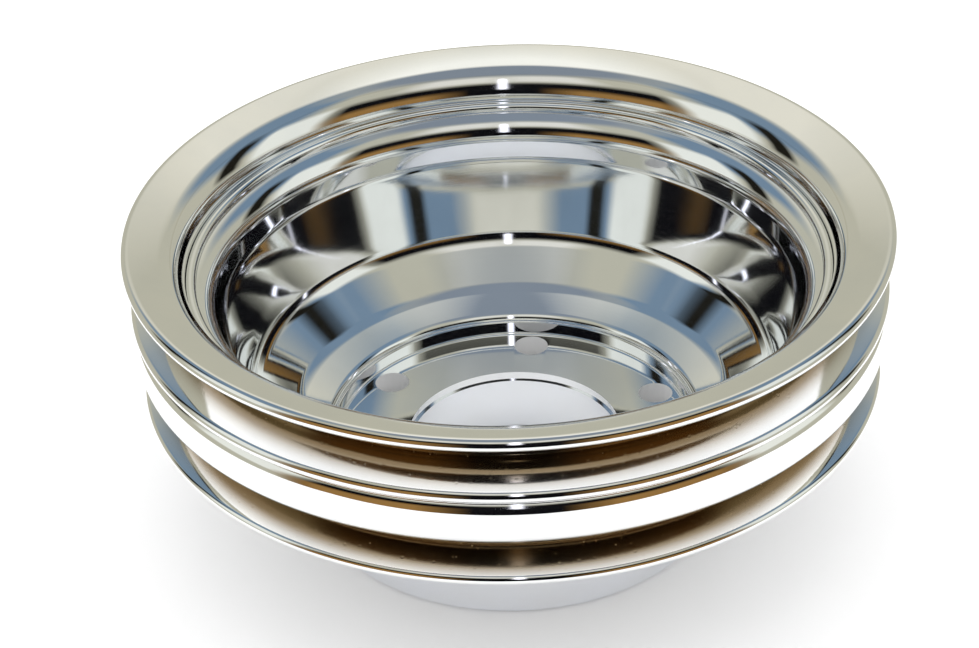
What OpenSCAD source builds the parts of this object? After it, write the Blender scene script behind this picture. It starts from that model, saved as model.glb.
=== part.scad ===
// Deep-dish two-groove V-belt pulley, spun from sheet steel around a turned hub boss.
// Z is the shaft axis: the mounting face is at z = 0 and the open dish faces +Z.

/* [Rims] */
// Outer radius of the front rim
front_rim_r = 86.4; // [82:0.2:92]
// Outer radius of the rear edge of the front groove
mid_rim_r = 85.5; // [82:0.1:88]
// Outer radius of the cylindrical land between the grooves
land_r = 85.2; // [82:0.1:88]
// Outer radius of the rear rim
rear_rim_r = 84.4; // [82:0.1:88]

/* [Heights above the mounting face] */
// Middle of the front rim
front_rim_z = 72.8; // [70:0.2:76]
// Middle of the rear edge of the front groove
mid_rim_z = 59.5; // [58:0.1:61]
// Lower corner of the land, where the rear groove opens
land_low_z = 48; // [46:0.2:50]
// Middle of the rear rim
rear_rim_z = 37.8; // [36:0.2:39]

/* [Sheet] */
// Thickness of the front sheave sheet
front_t = 3; // [2.4:0.1:3.2]
// Thickness of the rear sheave sheet
rear_t = 2.4; // [2:0.1:2.6]
// Thickness of the dish sheet
dish_t = 2.2; // [1.8:0.1:2.4]
// Slope of the belt flanks from a flat plane, in degrees
flank_angle = 17.5; // [16:0.5:19]
// Radius of the floor of each belt groove
groove_floor_r = 75.8; // [75:0.1:76.5]

/* [Dish] */
// Radius of the dish lip where it seats inside the front sheave
lip_r = 72.8; // [72.8]
// Height of the top of the dish lip
lip_z = 64.9; // [64.5:0.1:65.4]
// Outer radius of the seat for the rear sheave neck
seat_r = 68.6; // [68.5:0.1:68.8]
// Inner radius of the dish wall at its foot
foot_r = 60.4; // [59:0.2:62]
// Height of the dish wall foot
foot_z = 32; // [30:0.5:34]
// Inner radius of the step around the hub floor
step_r = 42; // [41.5:0.1:43]
// Height of the top of that step
step_z = 20.8; // [20:0.2:22]
// Height of the hub floor inside the dish
floor_z = 16; // [15:0.5:18]

/* [Hub] */
// Outer radius of the hub boss
boss_r = 48; // [47:0.5:50]
// Radius of the pilot bore
bore_r = 24.5; // [20:0.5:26]
// Number of bolt holes
bolt_n = 6; // [3:1:8]
// Radius of the bolt circle
bolt_circle_r = 36.8; // [35:0.2:37]
// Radius of a bolt hole
bolt_hole_r = 4.1; // [3:0.1:4.2]
// Angle of the first bolt hole, in degrees
bolt_start = 22.5; // [0:0.5:60]

/* [Hidden] */
$fn = 96;
arc_steps = 8;
slope = tan(flank_angle);
rise = 1 / cos(flank_angle);
bore_chamfer = 0.8;
hole_chamfer = 0.5;
boss_edge_r = 1.6;
weld_gap = 0.02;

// Centre line of the front sheave: front flank, groove floor and rear flank
front_floor_c = groove_floor_r - front_t / 2;
front_end_r = front_rim_r - front_t / 2;
mid_end_r = mid_rim_r - front_t / 2;
front_path = [
    [front_end_r, front_rim_z],
    [front_floor_c, front_rim_z - (front_end_r - front_floor_c) * slope],
    [front_floor_c, mid_rim_z + (mid_end_r - front_floor_c) * slope],
    [mid_end_r, mid_rim_z]
];
front_bends = [0, 6.5, 1.9, 0];

// Centre line of the rear sheave: neck, shoulder under the front sheave, land, groove and rim
function under_mid(r) = mid_rim_z + (mid_end_r - r) * slope - (front_t + rear_t) / 2 * rise;
neck_c = seat_r + rear_t / 2;
land_c = land_r - rear_t / 2;
rear_end_r = rear_rim_r - rear_t / 2;
rear_floor_c = groove_floor_r - rear_t / 2;
land_low_c = land_low_z + rear_t / 2 * (rise - slope);
shoulder_r = 77.4;
neck_low_z = 53.2;
rear_path = [
    [neck_c, neck_low_z],
    [neck_c, 57],
    [shoulder_r, under_mid(shoulder_r)],
    [land_c, under_mid(land_c)],
    [land_c, land_low_c],
    [rear_floor_c, land_low_c - (land_c - rear_floor_c) * slope],
    [rear_floor_c, rear_rim_z + (rear_end_r - rear_floor_c) * slope],
    [rear_end_r, rear_rim_z]
];
rear_bends = [0, 2, 6, 2, 1.7, 1.8, 1.8, 0];

// Centre line of the dish, from its lip down to the hub floor
lip_c = lip_r - dish_t / 2;
seat_c = seat_r - dish_t / 2;
dish_path = [
    [lip_c, lip_z - dish_t / 2],
    [lip_c, 62],
    [seat_c, 60.3],
    [seat_c, 52],
    [foot_r + dish_t / 2, foot_z],
    [51.2, 23.3],
    [step_r + dish_t / 2, step_z - 0.6],
    [step_r + dish_t / 2, floor_z - dish_t / 2],
    [bore_r + 0.5, floor_z - dish_t / 2]
];
dish_bends = [0, 1.3, 5.2, 8, 9, 10, 1.5, 1.7, 0];

function unit(v) = v / norm(v);
function left_of(v) = [-v[1], v[0]];
function turn(a) = a > 180 ? a - 360 : (a < -180 ? a + 360 : a);

// Centre of a round bend of radius r at corner b of the line a-b-c
function bend_centre(a, b, c, r) =
    let (
        u = unit(a - b),
        w = unit(c - b)
    )
    b + unit(u + w) * r / sin(acos(u * w) / 2);

// Points of that bend
function bend(a, b, c, r) =
    let (
        u = unit(a - b),
        w = unit(c - b),
        half = acos(u * w) / 2,
        centre = bend_centre(a, b, c, r),
        p = b + u * r / tan(half) - centre,
        q = b + w * r / tan(half) - centre,
        start = atan2(p[1], p[0]),
        sweep = turn(atan2(q[1], q[0]) - start)
    )
    [for (i = [0:arc_steps]) centre + r * [cos(start + sweep * i / arc_steps), sin(start + sweep * i / arc_steps)]];

// The line through pts with each inner corner rounded
function rounded(pts, radii) = [
    for (i = [0:len(pts) - 1])
        each (radii[i] == 0 ? [pts[i]] : bend(pts[i - 1], pts[i], pts[i + 1], radii[i]))
];

// Direction across the line at point i, long enough to keep the sheet thickness through the corner
function across(line, i) =
    let (
        before = i == 0 ? line[1] - line[0] : line[i] - line[i - 1],
        after = i == len(line) - 1 ? before : line[i + 1] - line[i],
        n = unit(left_of(unit(before)) + left_of(unit(after)))
    )
    n / (n * left_of(unit(after)));

// Half circle that rounds the edge of a sheet, from side s of the line to the other
function edge(end, along, r, s) = [
    for (i = [1:arc_steps - 1])
        end + r * (cos(180 * i / arc_steps) * left_of(along) * s + sin(180 * i / arc_steps) * along)
];

// Outline of a sheet of thickness t along a line, with one or both edges rounded
function sheet(line, t, round_start, round_end) =
    let (
        n = len(line) - 1,
        one = [for (i = [0:n]) line[i] + across(line, i) * t / 2],
        two = [for (i = [n:-1:0]) line[i] - across(line, i) * t / 2],
        tail = round_end ? edge(line[n], unit(line[n] - line[n - 1]), t / 2, 1) : [],
        head = round_start ? edge(line[0], unit(line[0] - line[1]), t / 2, 1) : []
    )
    concat(one, tail, two, head);

module front_sheave() {
    color("gainsboro")
        rotate_extrude()
            polygon(sheet(rounded(front_path, front_bends), front_t, true, true));
}

module rear_sheave() {
    color("silver")
        rotate_extrude()
            polygon(sheet(rounded(rear_path, rear_bends), rear_t, false, true));
}

module bolt_holes(r, low, high) {
    for (i = [0:bolt_n - 1])
        rotate(bolt_start + i * 360 / bolt_n)
            translate([bolt_circle_r, 0, low])
                cylinder(r = r, h = high - low);
}

module dish() {
    color("lightsteelblue")
        difference() {
            rotate_extrude()
                polygon(sheet(rounded(dish_path, dish_bends), dish_t, true, false));
            bolt_holes(bolt_hole_r, floor_z - dish_t - 1, floor_z + 1);
        }
}

boss_top = floor_z - dish_t;
module hub_boss() {
    color("lightgray")
        difference() {
            rotate_extrude()
                polygon(concat(
                    [[bore_r + bore_chamfer, 0]],
                    [for (i = [0:arc_steps])
                        [boss_r - boss_edge_r + boss_edge_r * sin(90 * i / arc_steps),
                         boss_edge_r - boss_edge_r * cos(90 * i / arc_steps)]],
                    [[boss_r, boss_top - 0.6], [boss_r - 0.6, boss_top],
                     [bore_r, boss_top], [bore_r, bore_chamfer]]
                ));
            bolt_holes(bolt_hole_r, -1, boss_top + 1);
            for (i = [0:bolt_n - 1])
                rotate(bolt_start + i * 360 / bolt_n)
                    translate([bolt_circle_r, 0, -hole_chamfer])
                        cylinder(r1 = bolt_hole_r + 2 * hole_chamfer, r2 = bolt_hole_r, h = 2 * hole_chamfer);
        }
}

// Points on a circle about a centre, from angle a to angle b
function arc(centre, r, a, b) = [
    for (i = [0:arc_steps])
        let (t = a + (b - a) * i / arc_steps)
        centre + r * [cos(t), sin(t)]
];

// Bead between the dish lip and the rear bend of the front sheave
module lip_weld() {
    bend_r = front_bends[2];
    centre = bend_centre(front_path[1], front_path[2], front_path[3], bend_r);
    color("darkgray")
        rotate_extrude()
            polygon(concat(
                arc(centre, bend_r + front_t / 2 + weld_gap, 186, 226),
                [[lip_r + 0.75, 61.35], [lip_r, 61.5]]
            ));
}

// Bead under the end of the rear sheave neck
dish_wall = unit(dish_path[4] - dish_path[3]);
dish_wall_outer = dish_path[3] + left_of(dish_wall) * (dish_t / 2 + weld_gap);
module neck_weld() {
    leg = 2;
    color("darkgray")
        rotate_extrude()
            polygon([
                [seat_r + weld_gap, neck_low_z],
                dish_wall_outer + dish_wall * 0.2,
                dish_wall_outer + dish_wall * (leg + 0.3),
                dish_wall_outer + dish_wall * leg + [0.9, 0.3],
                [seat_r + leg * 0.75, neck_low_z - 0.6],
                [seat_r + leg, neck_low_z]
            ]);
}

// Bead in the corner between the dish step and the top of the hub boss
module hub_weld() {
    leg = 3;
    bend_r = dish_bends[7];
    centre = bend_centre(dish_path[6], dish_path[7], dish_path[8], bend_r);
    outer = step_r + dish_t;
    color("darkgray")
        rotate_extrude()
            polygon(concat(
                arc(centre, bend_r + dish_t / 2 + weld_gap, 0, -80),
                [
                    [outer - 1.4, boss_top],
                    [outer + leg, boss_top],
                    [outer + leg * 0.72, boss_top + leg * 0.55],
                    [outer + leg * 0.3, boss_top + leg * 0.95],
                    [outer + weld_gap, boss_top + leg * 1.25]
                ]
            ));
}

front_sheave();
rear_sheave();
dish();
hub_boss();
lip_weld();
neck_weld();
hub_weld();
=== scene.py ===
import math
import bmesh
import bpy
from mathutils import Matrix, Vector


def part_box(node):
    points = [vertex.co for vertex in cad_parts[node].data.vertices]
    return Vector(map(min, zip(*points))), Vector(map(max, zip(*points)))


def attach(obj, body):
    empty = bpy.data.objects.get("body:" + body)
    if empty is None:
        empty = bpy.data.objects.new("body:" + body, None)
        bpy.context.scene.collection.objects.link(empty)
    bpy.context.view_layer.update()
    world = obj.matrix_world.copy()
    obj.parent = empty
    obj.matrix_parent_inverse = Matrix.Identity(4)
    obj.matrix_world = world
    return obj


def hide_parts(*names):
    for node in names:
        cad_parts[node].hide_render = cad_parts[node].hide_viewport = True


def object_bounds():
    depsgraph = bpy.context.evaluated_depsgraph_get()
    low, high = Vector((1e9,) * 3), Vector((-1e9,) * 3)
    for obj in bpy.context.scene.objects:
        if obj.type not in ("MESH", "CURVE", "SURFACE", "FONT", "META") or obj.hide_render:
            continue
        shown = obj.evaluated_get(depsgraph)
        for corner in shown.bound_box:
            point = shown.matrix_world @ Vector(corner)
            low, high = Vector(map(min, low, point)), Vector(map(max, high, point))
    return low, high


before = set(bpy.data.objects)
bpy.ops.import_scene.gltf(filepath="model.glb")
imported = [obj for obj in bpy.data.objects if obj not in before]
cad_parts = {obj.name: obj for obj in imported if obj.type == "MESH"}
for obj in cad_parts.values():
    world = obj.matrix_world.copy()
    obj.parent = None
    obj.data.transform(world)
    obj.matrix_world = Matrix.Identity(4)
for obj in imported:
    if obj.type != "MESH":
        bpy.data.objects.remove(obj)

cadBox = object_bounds()
mm = 0.001
print("frame loaded")

# camera, looking down into the dish from the -Y side

camera = {
    "distance": 0.602,  # metres from the middle of the front rim
    "rimHeight": 0.072,
    "elevation": 30.82,
    "roll": -1.97,
    "panRight": 0.386,  # degrees between the view's axis and the rim's middle
    "panUp": 2.068,
    "lens": 98.77,
}


def makeCamera(opt):
    elevation = math.radians(opt["elevation"])
    back = Vector((0, -math.cos(elevation), math.sin(elevation)))
    up = Vector((0, math.sin(elevation), math.cos(elevation)))
    level = Matrix((Vector((1, 0, 0)), up, back)).transposed()
    rolled = Matrix.Rotation(math.radians(-opt["roll"]), 3, "Z")
    right, high = (math.tan(math.radians(opt[key])) for key in ("panRight", "panUp"))
    aim = Vector((right, high, -1)).normalized()
    aimed = Vector((0, 0, -1)).rotation_difference(aim).to_matrix()
    data = bpy.data.cameras.new("viewCamera")
    data.lens = opt["lens"]
    data.sensor_width = 36
    data.clip_start = 0.01
    data.clip_end = 30
    data.dof.use_dof = False
    obj = bpy.data.objects.new("viewCamera", data)
    facing = level @ (aimed @ rolled).transposed()
    place = Vector((0, 0, opt["rimHeight"])) + back * opt["distance"]
    obj.matrix_world = Matrix.Translation(place) @ facing.to_4x4()
    bpy.context.scene.collection.objects.link(obj)
    bpy.context.scene.camera = obj


makeCamera(camera)
print("camera placed")

# outlines of the spun sheets, worked out in millimetres as radius and height


def roundedLine(corners, steps):
    # each corner is (radius, height, bend radius)
    line = []
    for i, (r, z, bend) in enumerate(corners):
        here = Vector((r, z))
        if bend == 0:
            line.append(here)
            continue
        toBefore = (Vector(corners[i - 1][:2]) - here).normalized()
        toAfter = (Vector(corners[i + 1][:2]) - here).normalized()
        half = math.acos(toBefore.dot(toAfter)) / 2
        centre = here + (toBefore + toAfter).normalized() * bend / math.sin(half)
        start = here + toBefore * bend / math.tan(half) - centre
        end = here + toAfter * bend / math.tan(half) - centre
        first = math.atan2(start.y, start.x)
        sweep = math.remainder(math.atan2(end.y, end.x) - first, 2 * math.pi)
        for k in range(steps + 1):
            a = first + sweep * k / steps
            line.append(centre + bend * Vector((math.cos(a), math.sin(a))))
    return line


def roundEdge(end, along, radius, steps):
    side = Vector((-along.y, along.x))
    return [end + radius * (math.cos(math.pi * k / steps) * side + math.sin(math.pi * k / steps) * along)
            for k in range(1, steps)]


def sheetOutline(line, thickness, roundStart, roundEnd, steps=14):
    left, right = [], []
    for i, p in enumerate(line):
        before = (line[1] - line[0] if i == 0 else p - line[i - 1]).normalized()
        after = before if i == len(line) - 1 else (line[i + 1] - p).normalized()
        across = Vector((-before.y - after.y, before.x + after.x)).normalized()
        across /= across.dot(Vector((-after.y, after.x)))
        left.append(p + across * thickness / 2)
        right.append(p - across * thickness / 2)
    tail, head = [], []
    if roundEnd:
        tail = roundEdge(line[-1], (line[-1] - line[-2]).normalized(), thickness / 2, steps)
    if roundStart:
        head = roundEdge(line[0], (line[0] - line[1]).normalized(), thickness / 2, steps)
    return left + tail + right[::-1] + head


# one Geometry Nodes tree spins every outline round the shaft axis


def spinTree():
    tree = bpy.data.node_groups.new("spinOutline", "GeometryNodeTree")
    face = tree.interface
    face.new_socket("Outline", in_out="INPUT", socket_type="NodeSocketGeometry")
    for name, kind, value in (("Segments", "NodeSocketInt", 360), ("Ripple Count", "NodeSocketInt", 0),
                              ("Ripple Depth", "NodeSocketFloat", 0.0), ("Waver", "NodeSocketFloat", 0.0),
                              ("Seed", "NodeSocketFloat", 1.0)):
        face.new_socket(name, in_out="INPUT", socket_type=kind).default_value = value
    face.new_socket("Material", in_out="INPUT", socket_type="NodeSocketMaterial")
    face.new_socket("Geometry", in_out="OUTPUT", socket_type="NodeSocketGeometry")
    nodes, links = tree.nodes, tree.links
    source = nodes.new("NodeGroupInput")
    result = nodes.new("NodeGroupOutput")

    def math2(operation, a, b=None):
        node = nodes.new("ShaderNodeMath")
        node.operation = operation
        for socket, value in zip(node.inputs, (a, b)):
            if value is None:
                continue
            if isinstance(value, (int, float)):
                socket.default_value = value
            else:
                links.new(value, socket)
        return node.outputs[0]

    size = nodes.new("GeometryNodeAttributeDomainSize")
    links.new(source.outputs["Outline"], size.inputs[0])
    rows = math2("ADD", size.outputs["Point Count"], 1)
    columns = math2("ADD", source.outputs["Segments"], 1)
    grid = nodes.new("GeometryNodeMeshGrid")
    links.new(rows, grid.inputs["Vertices X"])
    links.new(columns, grid.inputs["Vertices Y"])
    index = nodes.new("GeometryNodeInputIndex").outputs[0]
    row = math2("FLOOR", math2("DIVIDE", math2("ADD", index, 0.5), columns))
    column = math2("SUBTRACT", index, math2("MULTIPLY", row, columns))
    pick = nodes.new("GeometryNodeSampleIndex")
    pick.data_type = "FLOAT_VECTOR"
    links.new(source.outputs["Outline"], pick.inputs["Geometry"])
    links.new(nodes.new("GeometryNodeInputPosition").outputs[0], pick.inputs["Value"])
    links.new(math2("FLOORED_MODULO", row, size.outputs["Point Count"]), pick.inputs["Index"])
    step = math2("FLOORED_MODULO", column, source.outputs["Segments"])
    angle = math2("MULTIPLY", math2("DIVIDE", step, source.outputs["Segments"]), 2 * math.pi)
    turn = nodes.new("ShaderNodeVectorRotate")
    turn.rotation_type = "Z_AXIS"
    links.new(pick.outputs[0], turn.inputs["Vector"])
    links.new(angle, turn.inputs["Angle"])
    place = nodes.new("GeometryNodeSetPosition")
    links.new(grid.outputs["Mesh"], place.inputs["Geometry"])
    links.new(turn.outputs[0], place.inputs["Position"])
    weld = nodes.new("GeometryNodeMergeByDistance")
    weld.inputs["Distance"].default_value = 1e-7
    links.new(place.outputs[0], weld.inputs["Geometry"])

    # ripples of a weld bead, kept from being all alike by a slow noise round the ring
    around = nodes.new("GeometryNodeInputPosition").outputs[0]
    split = nodes.new("ShaderNodeSeparateXYZ")
    links.new(around, split.inputs[0])
    bearing = math2("ARCTAN2", split.outputs["Y"], split.outputs["X"])
    noise = nodes.new("ShaderNodeTexNoise")
    noise.noise_dimensions = "4D"
    noise.inputs["Scale"].default_value = 90
    noise.inputs["Detail"].default_value = 2
    links.new(around, noise.inputs["Vector"])
    links.new(source.outputs["Seed"], noise.inputs["W"])
    drift = math2("SUBTRACT", noise.outputs[0], 0.5)
    waves = math2("MULTIPLY", bearing, source.outputs["Ripple Count"])
    phase = math2("ADD", waves, math2("MULTIPLY", drift, 5))
    ripple = math2("MULTIPLY", math2("SINE", phase), source.outputs["Ripple Depth"])
    shift = math2("ADD", ripple, math2("MULTIPLY", drift, source.outputs["Waver"]))
    outward = nodes.new("ShaderNodeVectorMath")
    outward.operation = "SCALE"
    links.new(nodes.new("GeometryNodeInputNormal").outputs[0], outward.inputs[0])
    links.new(shift, outward.inputs["Scale"])
    swell = nodes.new("GeometryNodeSetPosition")
    links.new(weld.outputs[0], swell.inputs["Geometry"])
    links.new(outward.outputs[0], swell.inputs["Offset"])

    smooth = nodes.new("GeometryNodeSetShadeSmooth")
    links.new(swell.outputs[0], smooth.inputs["Geometry"])
    real = nodes.new("GeometryNodeRealizeInstances")
    links.new(smooth.outputs[0], real.inputs[0])
    coat = nodes.new("GeometryNodeSetMaterial")
    links.new(real.outputs[0], coat.inputs["Geometry"])
    links.new(source.outputs["Material"], coat.inputs["Material"])
    links.new(coat.outputs[0], result.inputs[0])
    return tree


spinOutline = spinTree()


def plainMesh(obj, name):
    # turn the evaluated object into a plain mesh and drop its modifiers
    bpy.context.view_layer.update()
    graph = bpy.context.evaluated_depsgraph_get()
    mesh = bpy.data.meshes.new_from_object(obj.evaluated_get(graph), depsgraph=graph)
    mesh.name = name
    obj.modifiers.clear()
    obj.data = mesh


sharpAngle = math.radians(32)


def spin(name, outline, material, segments=384, rippleCount=0, rippleDepth=0.0, waver=0.0, seed=1.0):
    mesh = bpy.data.meshes.new(name)
    points = [(p.x * mm, 0, p.y * mm) for p in outline]
    mesh.from_pydata(points, [(i, (i + 1) % len(points)) for i in range(len(points))], [])
    obj = bpy.data.objects.new(name, mesh)
    bpy.context.scene.collection.objects.link(obj)
    modifier = obj.modifiers.new("spin", "NODES")
    modifier.node_group = spinOutline
    values = {"Segments": segments, "Ripple Count": rippleCount, "Ripple Depth": rippleDepth * mm,
              "Waver": waver * mm, "Seed": seed, "Material": material}
    for item in spinOutline.interface.items_tree:
        if item.in_out == "INPUT" and item.name in values:
            modifier[item.identifier] = values[item.name]
    plainMesh(obj, name)
    work = bmesh.new()
    work.from_mesh(obj.data)
    if work.calc_volume(signed=True) < 0:
        bmesh.ops.reverse_faces(work, faces=work.faces)
    work.to_mesh(obj.data)
    work.free()
    obj.data.set_sharp_from_angle(angle=sharpAngle)
    return obj


def drill(obj, holes, low, high):
    # holes is a list of (x, y, radius) in millimetres
    work = bmesh.new()
    for x, y, radius in holes:
        at = Matrix.Translation((x * mm, y * mm, (low + high) / 2 * mm))
        bmesh.ops.create_cone(work, cap_ends=True, segments=48, radius1=radius * mm, radius2=radius * mm,
                              depth=(high - low) * mm, matrix=at)
    mesh = bpy.data.meshes.new("drills")
    work.to_mesh(mesh)
    work.free()
    tool = bpy.data.objects.new("drills", mesh)
    bpy.context.scene.collection.objects.link(tool)
    cut = obj.modifiers.new("drill", "BOOLEAN")
    cut.object = tool
    cut.operation = "DIFFERENCE"
    cut.solver = "EXACT"
    plainMesh(obj, obj.name)
    bpy.data.objects.remove(tool, do_unlink=True)
    obj.data.set_sharp_from_angle(angle=sharpAngle)
    for polygon in obj.data.polygons:
        polygon.use_smooth = True


print("outline tools ready")

# shader groups for effects that several finishes share


def groupTools(tree):
    def node(kind, **settings):
        made = tree.nodes.new(kind)
        for key, value in settings.items():
            setattr(made, key, value)
        return made

    def feed(socket, value):
        if isinstance(value, bpy.types.NodeSocket):
            tree.links.new(value, socket)
        else:
            socket.default_value = value

    def calc(operation, a, b=0.0, clamp=False):
        made = node("ShaderNodeMath", operation=operation, use_clamp=clamp)
        feed(made.inputs[0], a)
        feed(made.inputs[1], b)
        return made.outputs[0]

    return node, feed, calc


def newGroup(name, inputs, outputs):
    tree = bpy.data.node_groups.new(name, "ShaderNodeTree")
    for label, kind, value in inputs:
        tree.interface.new_socket(label, in_out="INPUT", socket_type=kind).default_value = value
    for label, kind in outputs:
        tree.interface.new_socket(label, in_out="OUTPUT", socket_type=kind)
    return tree, tree.nodes.new("NodeGroupInput"), tree.nodes.new("NodeGroupOutput")


def ringCoordinates(tree):
    # radius, height and bearing round the shaft axis, from Object coordinates
    node, feed, calc = groupTools(tree)
    split = node("ShaderNodeSeparateXYZ")
    feed(split.inputs[0], node("ShaderNodeTexCoord").outputs["Object"])
    x, y, z = split.outputs
    radius = calc("SQRT", calc("ADD", calc("MULTIPLY", x, x), calc("MULTIPLY", y, y)))
    return radius, z, calc("ARCTAN2", y, x)


def spinLinesGroup():
    # fine rings left by the spinning tool, broken up a little round the ring
    tree, source, result = newGroup(
        "spinLines",
        (("Line Spacing", "NodeSocketFloat", 0.0004), ("Break Up", "NodeSocketFloat", 0.6),
         ("Seed", "NodeSocketFloat", 0.0)),
        (("Height", "NodeSocketFloat"), ("Mask", "NodeSocketFloat")))
    node, feed, calc = groupTools(tree)
    radius, z, bearing = ringCoordinates(tree)
    spacing, breakUp = source.outputs["Line Spacing"], source.outputs["Break Up"]
    across = calc("DIVIDE", calc("SUBTRACT", radius, z), spacing)
    vector = node("ShaderNodeCombineXYZ")
    feed(vector.inputs[0], calc("DIVIDE", calc("ADD", radius, z), spacing))
    feed(vector.inputs[1], calc("MULTIPLY", across, 0.4))
    feed(vector.inputs[2], calc("MULTIPLY", calc("SINE", bearing), breakUp))
    noise = node("ShaderNodeTexNoise", noise_dimensions="4D")
    feed(noise.inputs["Vector"], vector.outputs[0])
    turned = calc("MULTIPLY", calc("COSINE", bearing), breakUp)
    feed(noise.inputs["W"], calc("ADD", source.outputs["Seed"], turned))
    noise.inputs["Scale"].default_value = 1.0
    noise.inputs["Detail"].default_value = 3.0
    feed(result.inputs["Height"], noise.outputs[0])
    feed(result.inputs["Mask"], calc("MULTIPLY", calc("SUBTRACT", noise.outputs[0], 0.35), 2.5, clamp=True))
    return tree


def platingGroup():
    # slow waviness of polished sheet under the plating, and the tiny pits in it
    tree, source, result = newGroup(
        "platingSurface",
        (("Wave Size", "NodeSocketFloat", 0.012), ("Pit Spacing", "NodeSocketFloat", 0.0012),
         ("Pit Share", "NodeSocketFloat", 0.1), ("Seed", "NodeSocketFloat", 0.0)),
        (("Height", "NodeSocketFloat"), ("Pits", "NodeSocketFloat"), ("Haze", "NodeSocketFloat")))
    node, feed, calc = groupTools(tree)
    where = node("ShaderNodeTexCoord").outputs["Object"]
    waves = node("ShaderNodeTexNoise", noise_dimensions="4D")
    feed(waves.inputs["Vector"], where)
    feed(waves.inputs["W"], source.outputs["Seed"])
    feed(waves.inputs["Scale"], calc("DIVIDE", 1.0, source.outputs["Wave Size"]))
    waves.inputs["Detail"].default_value = 1.0
    pits = node("ShaderNodeTexVoronoi", feature="F1", voronoi_dimensions="4D")
    feed(pits.inputs["Vector"], where)
    feed(pits.inputs["W"], source.outputs["Seed"])
    feed(pits.inputs["Scale"], calc("DIVIDE", 1.0, source.outputs["Pit Spacing"]))
    chosen = node("ShaderNodeSeparateColor")
    feed(chosen.inputs[0], pits.outputs["Color"])
    near = calc("SUBTRACT", 1.0, calc("MULTIPLY", pits.outputs["Distance"], 2.6), clamp=True)
    isPit = calc("LESS_THAN", chosen.outputs[0], source.outputs["Pit Share"])
    feed(result.inputs["Pits"], calc("MULTIPLY", near, isPit))
    haze = node("ShaderNodeTexNoise", noise_dimensions="4D")
    feed(haze.inputs["Vector"], where)
    feed(haze.inputs["W"], calc("ADD", source.outputs["Seed"], 7.3))
    haze.inputs["Scale"].default_value = 45
    haze.inputs["Detail"].default_value = 5
    feed(result.inputs["Height"], waves.outputs[0])
    feed(result.inputs["Haze"], calc("MULTIPLY", calc("SUBTRACT", haze.outputs[0], 0.42), 3.0, clamp=True))
    return tree


def grooveGroup():
    # a mask that is 1 deep in the belt grooves and fades out towards the rims; it places rougher, more pitted
    # plating and painted groove shade there
    tree, source, result = newGroup(
        "beltGroove",
        (("Front Height", "NodeSocketFloat", 0.066), ("Rear Height", "NodeSocketFloat", 0.0435),
         ("Half Width", "NodeSocketFloat", 0.005), ("Mouth Radius", "NodeSocketFloat", 0.084),
         ("Floor Radius", "NodeSocketFloat", 0.0755)),
        (("Mask", "NodeSocketFloat"),))
    node, feed, calc = groupTools(tree)
    radius, z = ringCoordinates(tree)[:2]
    front = calc("ABSOLUTE", calc("SUBTRACT", z, source.outputs["Front Height"]))
    rear = calc("ABSOLUTE", calc("SUBTRACT", z, source.outputs["Rear Height"]))
    offCentre = calc("DIVIDE", calc("MINIMUM", front, rear), source.outputs["Half Width"])
    close = calc("MULTIPLY", calc("SUBTRACT", 1.0, offCentre, clamp=True), 2.5, clamp=True)
    outside = calc("GREATER_THAN", radius, source.outputs["Floor Radius"])
    deep = calc("MULTIPLY", calc("SUBTRACT", source.outputs["Mouth Radius"], radius), 250, clamp=True)
    feed(result.inputs["Mask"], calc("MULTIPLY", close, calc("MULTIPLY", outside, deep)))
    return tree


spinLines = spinLinesGroup()
platingSurface = platingGroup()
beltGroove = grooveGroup()


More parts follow.
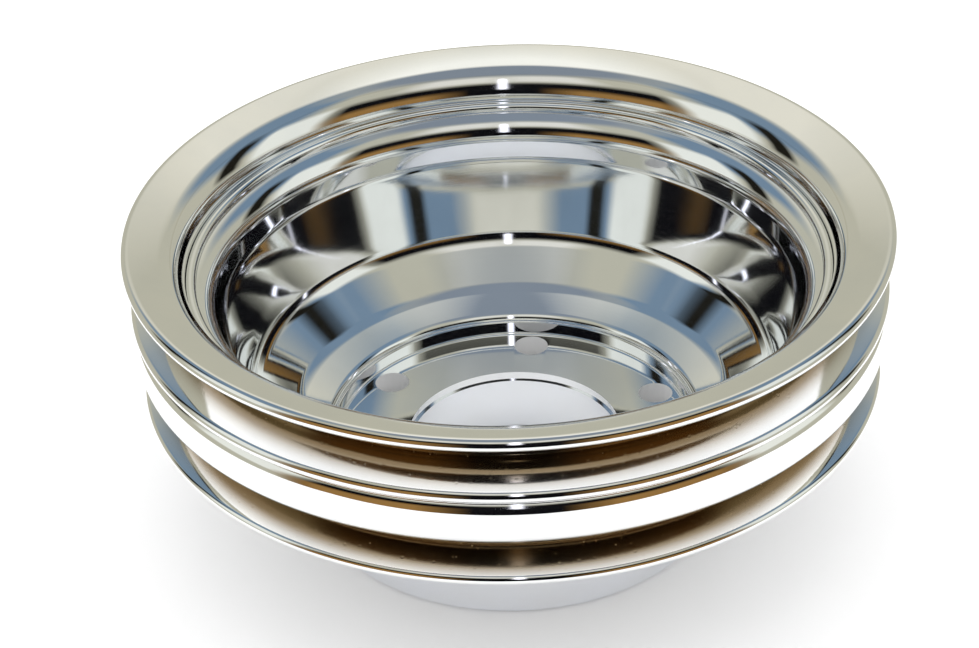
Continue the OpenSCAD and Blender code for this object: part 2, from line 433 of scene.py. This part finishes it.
def chromeFinish(name, opt):
    material = bpy.data.materials.new(name)
    material.use_nodes = True
    tree = material.node_tree
    tree.nodes.clear()
    node, feed, calc = groupTools(tree)
    output = node("ShaderNodeOutputMaterial")
    metal = node("ShaderNodeBsdfPrincipled")
    metal.inputs["Metallic"].default_value = 1.0
    metal.inputs["IOR"].default_value = 1.5
    lines = node("ShaderNodeGroup", node_tree=spinLines)
    lines.inputs["Line Spacing"].default_value = opt["lineSpacing"]
    lines.inputs["Seed"].default_value = opt["seed"]
    plating = node("ShaderNodeGroup", node_tree=platingSurface)
    plating.inputs["Wave Size"].default_value = opt["waveSize"]
    plating.inputs["Pit Spacing"].default_value = opt["pitSpacing"]
    plating.inputs["Pit Share"].default_value = opt["pitShare"]
    plating.inputs["Seed"].default_value = opt["seed"]
    groove = node("ShaderNodeGroup", node_tree=beltGroove)

    pitShare = calc("ADD", calc("MULTIPLY", groove.outputs["Mask"], opt["groovePits"]), opt["openPits"])
    pitted = calc("MULTIPLY", plating.outputs["Pits"], pitShare, clamp=True)
    tone = node("ShaderNodeMix", data_type="RGBA")
    tone.inputs["A"].default_value = (*opt["color"], 1)
    tone.inputs["B"].default_value = (*opt["hazeColor"], 1)
    feed(tone.inputs["Factor"], plating.outputs["Haze"])
    # painted shade and a painted warm reflection in the belt grooves: the base colour is pulled towards a
    # dark gold-brown there
    grooveShaded = node("ShaderNodeMix", data_type="RGBA")
    feed(grooveShaded.inputs["A"], tone.outputs["Result"])
    grooveShaded.inputs["B"].default_value = (*opt["grooveShadeColor"], 1)
    feed(grooveShaded.inputs["Factor"], calc("MULTIPLY", groove.outputs["Mask"], opt["grooveShadeAmount"]))
    spotted = node("ShaderNodeMix", data_type="RGBA")
    feed(spotted.inputs["A"], grooveShaded.outputs["Result"])
    spotted.inputs["B"].default_value = (*opt["pitColor"], 1)
    feed(spotted.inputs["Factor"], calc("MULTIPLY", pitted, 0.8))
    feed(metal.inputs["Base Color"], spotted.outputs["Result"])

    rough = calc("ADD", opt["roughness"], calc("MULTIPLY", plating.outputs["Haze"], opt["hazeRoughness"]))
    rough = calc("ADD", rough, calc("MULTIPLY", lines.outputs["Mask"], opt["lineRoughness"]))
    rough = calc("ADD", rough, calc("MULTIPLY", groove.outputs["Mask"], opt["grooveRoughness"]))
    rough = calc("ADD", rough, calc("MULTIPLY", pitted, 0.3), clamp=True)
    feed(metal.inputs["Roughness"], rough)

    height = calc("ADD", calc("MULTIPLY", plating.outputs["Height"], opt["waveHeight"]),
                  calc("MULTIPLY", lines.outputs["Height"], opt["lineHeight"]))
    height = calc("SUBTRACT", height, calc("MULTIPLY", pitted, opt["pitDepth"]))
    bump = node("ShaderNodeBump")
    bump.inputs["Strength"].default_value = 1.0
    bump.inputs["Distance"].default_value = mm
    feed(bump.inputs["Height"], height)
    feed(metal.inputs["Normal"], bump.outputs[0])
    feed(output.inputs[0], metal.outputs[0])
    return material


# heights and depths in these finishes are in millimetres, spacings in metres
sheetChrome = {
    "color": (0.93, 0.93, 0.92), "hazeColor": (0.86, 0.87, 0.88), "pitColor": (0.42, 0.36, 0.26),
    "roughness": 0.035, "hazeRoughness": 0.02, "lineRoughness": 0.02, "grooveRoughness": 0.07,
    "waveSize": 0.02, "waveHeight": 0.03, "lineSpacing": 0.0006, "lineHeight": 0.0006,
    "pitSpacing": 0.0011, "pitShare": 0.3, "pitDepth": 0.03, "groovePits": 0.9, "openPits": 0.0, "seed": 3.0,
    # painted shade and painted warm reflection in the belt grooves: their dark gold-brown colour and how
    # strongly it covers the plating
    "grooveShadeColor": (0.34, 0.26, 0.15), "grooveShadeAmount": 0.92,
}
dishChrome = dict(sheetChrome, waveSize=0.016, waveHeight=0.03, lineHeight=0.0008,
                  color=(0.92, 0.935, 0.95), seed=11.0)
turnedChrome = dict(sheetChrome, color=(0.88, 0.9, 0.94), roughness=0.08, lineRoughness=0.07,
                    lineSpacing=0.0003, lineHeight=0.0015, grooveRoughness=0.0, waveHeight=0.01, seed=23.0)
weldPlating = dict(sheetChrome, color=(0.62, 0.61, 0.58), hazeColor=(0.45, 0.43, 0.4), roughness=0.26,
                   hazeRoughness=0.2, lineRoughness=0.05, waveSize=0.003, waveHeight=0.08,
                   pitShare=0.35, openPits=0.5, seed=31.0)
frontChrome = chromeFinish("frontSheaveChrome", sheetChrome)
rearChrome = chromeFinish("rearSheaveChrome", dict(sheetChrome, seed=5.0))
bowlChrome = chromeFinish("dishChrome", dishChrome)
hubChrome = chromeFinish("hubChrome", turnedChrome)
beadPlating = chromeFinish("beadPlating", weldPlating)
print("finishes ready")


def settle(obj, node):
    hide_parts(node)
    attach(obj, "root")


def reach(node):
    # outer radius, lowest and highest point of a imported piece, in millimetres
    low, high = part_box(node)
    return max(high.x, high.y, -low.x, -low.y) / mm, low.z / mm, high.z / mm


# front sheave: wide front flank, groove floor and rear flank in one pressed sheet

frontSheave = {"sheet": 3.0, "floorRadius": 75.8, "rearRimInset": 0.9, "flankAngle": 17.5,
               "frontBend": 6.5, "rearBend": 1.9, "bendSteps": 18}


def frontSheaveLine(opt):
    outer, low, high = reach("front_sheave")
    slope = math.tan(math.radians(opt["flankAngle"]))
    half = opt["sheet"] / 2
    floor = opt["floorRadius"] - half
    frontEnd = outer - half
    rearEnd = outer - opt["rearRimInset"] - half
    top, bottom = high - half, low + half
    return roundedLine([
        (frontEnd, top, 0),
        (floor, top - (frontEnd - floor) * slope, opt["frontBend"]),
        (floor, bottom + (rearEnd - floor) * slope, opt["rearBend"]),
        (rearEnd, bottom, 0),
    ], opt["bendSteps"])


frontLine = frontSheaveLine(frontSheave)
middleRimEnd, middleRimHeight = frontLine[-1]
frontPiece = spin("frontSheave", sheetOutline(frontLine, frontSheave["sheet"], True, True), frontChrome)
settle(frontPiece, "front_sheave")
print("front sheave spun")

# rear sheave: neck, shoulder under the front sheave, cylindrical land, rear groove and rear rim

rearSheave = {"sheet": 2.4, "seatRadius": 68.6, "neckFoot": 53.2, "neckTurn": 57.0, "shoulderRadius": 77.4,
              "landFoot": 48.0, "floorRadius": 75.8, "rimInset": 0.8, "flankAngle": 17.5,
              "bends": (2, 6, 2, 1.7, 1.8, 1.8), "bendSteps": 16}


def rearSheaveLine(opt):
    outer, low, high = reach("rear_sheave")
    slope = math.tan(math.radians(opt["flankAngle"]))
    rise = 1 / math.cos(math.radians(opt["flankAngle"]))
    half = opt["sheet"] / 2
    lowRim = low + half
    gap = (frontSheave["sheet"] + opt["sheet"]) / 2 * rise
    neck = opt["seatRadius"] + half
    shoulder = opt["shoulderRadius"]
    land = outer - half
    floor = opt["floorRadius"] - half
    rimEnd = outer - opt["rimInset"] - half
    foot = opt["landFoot"] + half * (rise - slope)

    def underFlank(r):
        return middleRimHeight + (middleRimEnd - r) * slope - gap

    bends = opt["bends"]
    return roundedLine([
        (neck, opt["neckFoot"], 0),
        (neck, opt["neckTurn"], bends[0]),
        (shoulder, underFlank(shoulder), bends[1]),
        (land, underFlank(land), bends[2]),
        (land, foot, bends[3]),
        (floor, foot - (land - floor) * slope, bends[4]),
        (floor, lowRim + (rimEnd - floor) * slope, bends[5]),
        (rimEnd, lowRim, 0),
    ], opt["bendSteps"])


rearLine = rearSheaveLine(rearSheave)
rearPiece = spin("rearSheave", sheetOutline(rearLine, rearSheave["sheet"], False, True), rearChrome)
settle(rearPiece, "rear_sheave")
print("rear sheave spun")

# dish: deep cup from the lip inside the front sheave down to the hub floor

bolts = {"count": 6, "circle": 36.8, "radius": 4.1, "start": 22.5, "dishCut": (5, 25), "hubCut": (-5, 20)}
dish = {"sheet": 2.2, "lipTurn": 62.0, "seatTop": 60.3, "seatLow": 52.0, "seatRadius": 68.6,
        "footRadius": 60.4, "footHeight": 32.0, "shelf": (51.2, 23.3), "stepRadius": 42.0, "stepTurn": 20.2,
        "holeRadius": 25.0, "bends": (1.3, 5.2, 8, 9, 10, 1.5, 1.7), "bendSteps": 20}


def dishLine(opt):
    outer, low, high = reach("dish")
    half = opt["sheet"] / 2
    lip, seat = outer - half, opt["seatRadius"] - half
    foot, step = opt["footRadius"] + half, opt["stepRadius"] + half
    hubFloor = low + half
    bends = opt["bends"]
    return roundedLine([
        (lip, high - half, 0),
        (lip, opt["lipTurn"], bends[0]),
        (seat, opt["seatTop"], bends[1]),
        (seat, opt["seatLow"], bends[2]),
        (foot, opt["footHeight"], bends[3]),
        (*opt["shelf"], bends[4]),
        (step, opt["stepTurn"], bends[5]),
        (step, hubFloor, bends[6]),
        (opt["holeRadius"], hubFloor, 0),
    ], opt["bendSteps"])


def boltHoles(opt):
    turns = [math.radians(opt["start"] + i * 360 / opt["count"]) for i in range(opt["count"])]
    return [(opt["circle"] * math.cos(a), opt["circle"] * math.sin(a), opt["radius"]) for a in turns]


dishPiece = spin("dishShell", sheetOutline(dishLine(dish), dish["sheet"], True, False), bowlChrome)
drill(dishPiece, boltHoles(bolts), *bolts["dishCut"])
settle(dishPiece, "dish")
print("dish spun and drilled")

# hub boss: thick turned ring with the pilot bore

hub = {"boreRadius": 24.5, "boreChamfer": 0.8, "footRound": 1.6, "topChamfer": 0.6, "roundSteps": 16}


def hubOutline(opt):
    outer, low, high = reach("hub_boss")
    r, bore, steps = opt["footRound"], opt["boreRadius"], opt["roundSteps"]
    points = [(bore + opt["boreChamfer"], low)]
    for k in range(steps + 1):
        a = math.pi / 2 * k / steps
        points.append((outer - r + r * math.sin(a), low + r - r * math.cos(a)))
    points += [(outer, high - opt["topChamfer"]), (outer - opt["topChamfer"], high), (bore, high),
               (bore, low + opt["boreChamfer"])]
    return [Vector(p) for p in points]


hubPiece = spin("hubBoss", hubOutline(hub), hubChrome)
drill(hubPiece, boltHoles(bolts), *bolts["hubCut"])
settle(hubPiece, "hub_boss")
print("hub boss turned and drilled")

# weld beads: three rippled rings that join the sheets and the boss

# each outline is a corner and a face from start to end that bulges by a share of its length
beads = {
    "lip_weld": {"name": "lipWeldBead", "corner": (72.82, 63.5), "start": (73.8, 61.6), "end": (72.85, 61.55),
                 "bulge": 0.1, "ripples": 210, "seed": 3.0},
    "neck_weld": {"name": "neckWeldBead", "corner": (68.64, 53.18), "start": (67.95, 49.7),
                  "end": (70.5, 53.15), "bulge": 0.15, "ripples": 190, "seed": 4.0},
    "hub_weld": {"name": "hubWeldBead", "corner": (44.25, 13.82), "start": (47.1, 13.82),
                 "end": (44.25, 17.4), "bulge": -0.12, "ripples": 125, "seed": 5.0},
}
beadRipple = {"segmentsPerRipple": 6, "depth": 0.05, "waver": 0.05, "faceSteps": 10}


def beadOutline(opt, steps):
    a, b = Vector(opt["start"]), Vector(opt["end"])
    out = Vector((b.y - a.y, a.x - b.x)) * opt["bulge"]
    face = [a.lerp(b, k / steps) + out * math.sin(math.pi * k / steps) for k in range(steps + 1)]
    return [Vector(opt["corner"])] + face


for node, opt in beads.items():
    piece = spin(opt["name"], beadOutline(opt, beadRipple["faceSteps"]), beadPlating,
                 segments=opt["ripples"] * beadRipple["segmentsPerRipple"], rippleCount=opt["ripples"],
                 rippleDepth=beadRipple["depth"], waver=beadRipple["waver"], seed=opt["seed"])
    settle(piece, node)
print("weld beads laid")

# floor and light

stageLook = {"floorColor": (0.95, 0.95, 0.95), "floorSize": 0.4, "floorGap": 0.0002, "ambient": 1.4,
             "wallColor": (0.49, 0.48, 0.39)}
# what the plating mirrors, from the lowest layer up: color, then from, to and softness of the bearing and
# of the height, in degrees; a layer whose bearing starts at 0 or more stands on both sides
mirrored = (
    ((0.79, 0.77, 0.67), (148, 200, 20), (34, 62, 20)),  # brighter high on the back wall
    ((0.17, 0.25, 0.34), (84, 146, 18), (26, 66, 12)),  # blue-grey sides
    ((0.002, 0.002, 0.003), (-64, 64, 10), (-70, 41, 12)),  # dark room behind the viewer
    ((0.83, 0.85, 0.79), (68, 98, 6), (4, 42, 8)),  # pale side panels
    ((0.01, 0.009, 0.006), (104, 116, 5), (8, 42, 8)),  # dark gaps next to them
    ((0.3, 0.165, 0.05), (20, 64, 16), (-50, 20, 12)),  # warm light low beside the viewer
    ((0.75, 0.74, 0.68), (0, 40, 16), (45, 66, 10)),  # pale ceiling above the viewer
    ((0.22, 0.26, 0.31), (-400, 400, 12), (67, 200, 12)),  # grey overhead
    ((1.0, 1.0, 0.93), (152, 200, 24), (58, 70, 8)),  # white light above the back wall
    ((3.0, 3.0, 3.3), (-1, 1, 3), (20, 56, 6)),  # narrow light by the viewer
)


def makeFloor(opt):
    work = bmesh.new()
    bmesh.ops.create_grid(work, x_segments=1, y_segments=1, size=opt["floorSize"] / 2)
    mesh = bpy.data.meshes.new("floor")
    work.to_mesh(mesh)
    work.free()
    obj = bpy.data.objects.new("floor", mesh)
    obj.location = (0, 0, cadBox[0].z - opt["floorGap"])
    bpy.context.scene.collection.objects.link(obj)
    material = bpy.data.materials.new("paleFloor")
    material.use_nodes = True
    surface = material.node_tree.nodes["Principled BSDF"]
    surface.inputs["Base Color"].default_value = (*opt["floorColor"], 1)
    surface.inputs["Roughness"].default_value = 0.9
    surface.inputs["Specular IOR Level"].default_value = 0.1
    mesh.materials.append(material)


def makeWorld(opt, layers):
    world = bpy.data.worlds.new("studio")
    bpy.context.scene.world = world
    world.use_nodes = True
    tree = world.node_tree
    tree.nodes.clear()
    node, feed, calc = groupTools(tree)
    split = node("ShaderNodeSeparateXYZ")
    feed(split.inputs[0], node("ShaderNodeTexCoord").outputs["Generated"])
    x, y, z = split.outputs
    height = calc("MULTIPLY", calc("ARCSINE", z), 180 / math.pi)
    bearing = calc("MULTIPLY", calc("ARCTAN2", x, calc("MULTIPLY", y, -1)), 180 / math.pi)  # 0 towards -Y

    def band(value, low, high, soft):
        up = calc("DIVIDE", calc("SUBTRACT", value, low - soft / 2), soft, clamp=True)
        down = calc("DIVIDE", calc("SUBTRACT", high + soft / 2, value), soft, clamp=True)
        return calc("MULTIPLY", up, down)

    def layer(below, color, mask):
        mix = node("ShaderNodeMix", data_type="RGBA")
        feed(mix.inputs["A"], below)
        mix.inputs["B"].default_value = (*color, 1)
        feed(mix.inputs["Factor"], mask)
        return mix.outputs["Result"]

    look = (*opt["wallColor"], 1)
    for color, (low, high, soft), rise in layers:
        for side in (-1, 1) if low >= 0 else (1,):
            around = band(bearing, *sorted((side * low, side * high)), soft)
            look = layer(look, color, calc("MULTIPLY", around, band(height, *rise)))
    shade = node("ShaderNodeBackground")
    feed(shade.inputs["Color"], look)
    plain = node("ShaderNodeBackground")
    plain.inputs["Color"].default_value = (1, 1, 1, 1)
    plain.inputs["Strength"].default_value = opt["ambient"]
    pick = node("ShaderNodeMixShader")
    feed(pick.inputs[0], node("ShaderNodeLightPath").outputs["Is Glossy Ray"])
    feed(pick.inputs[1], plain.outputs[0])
    feed(pick.inputs[2], shade.outputs[0])
    feed(node("ShaderNodeOutputWorld").inputs[0], pick.outputs[0])


makeFloor(stageLook)
makeWorld(stageLook, mirrored)
bpy.context.scene.view_settings.view_transform = "Standard"
print("floor and light ready")
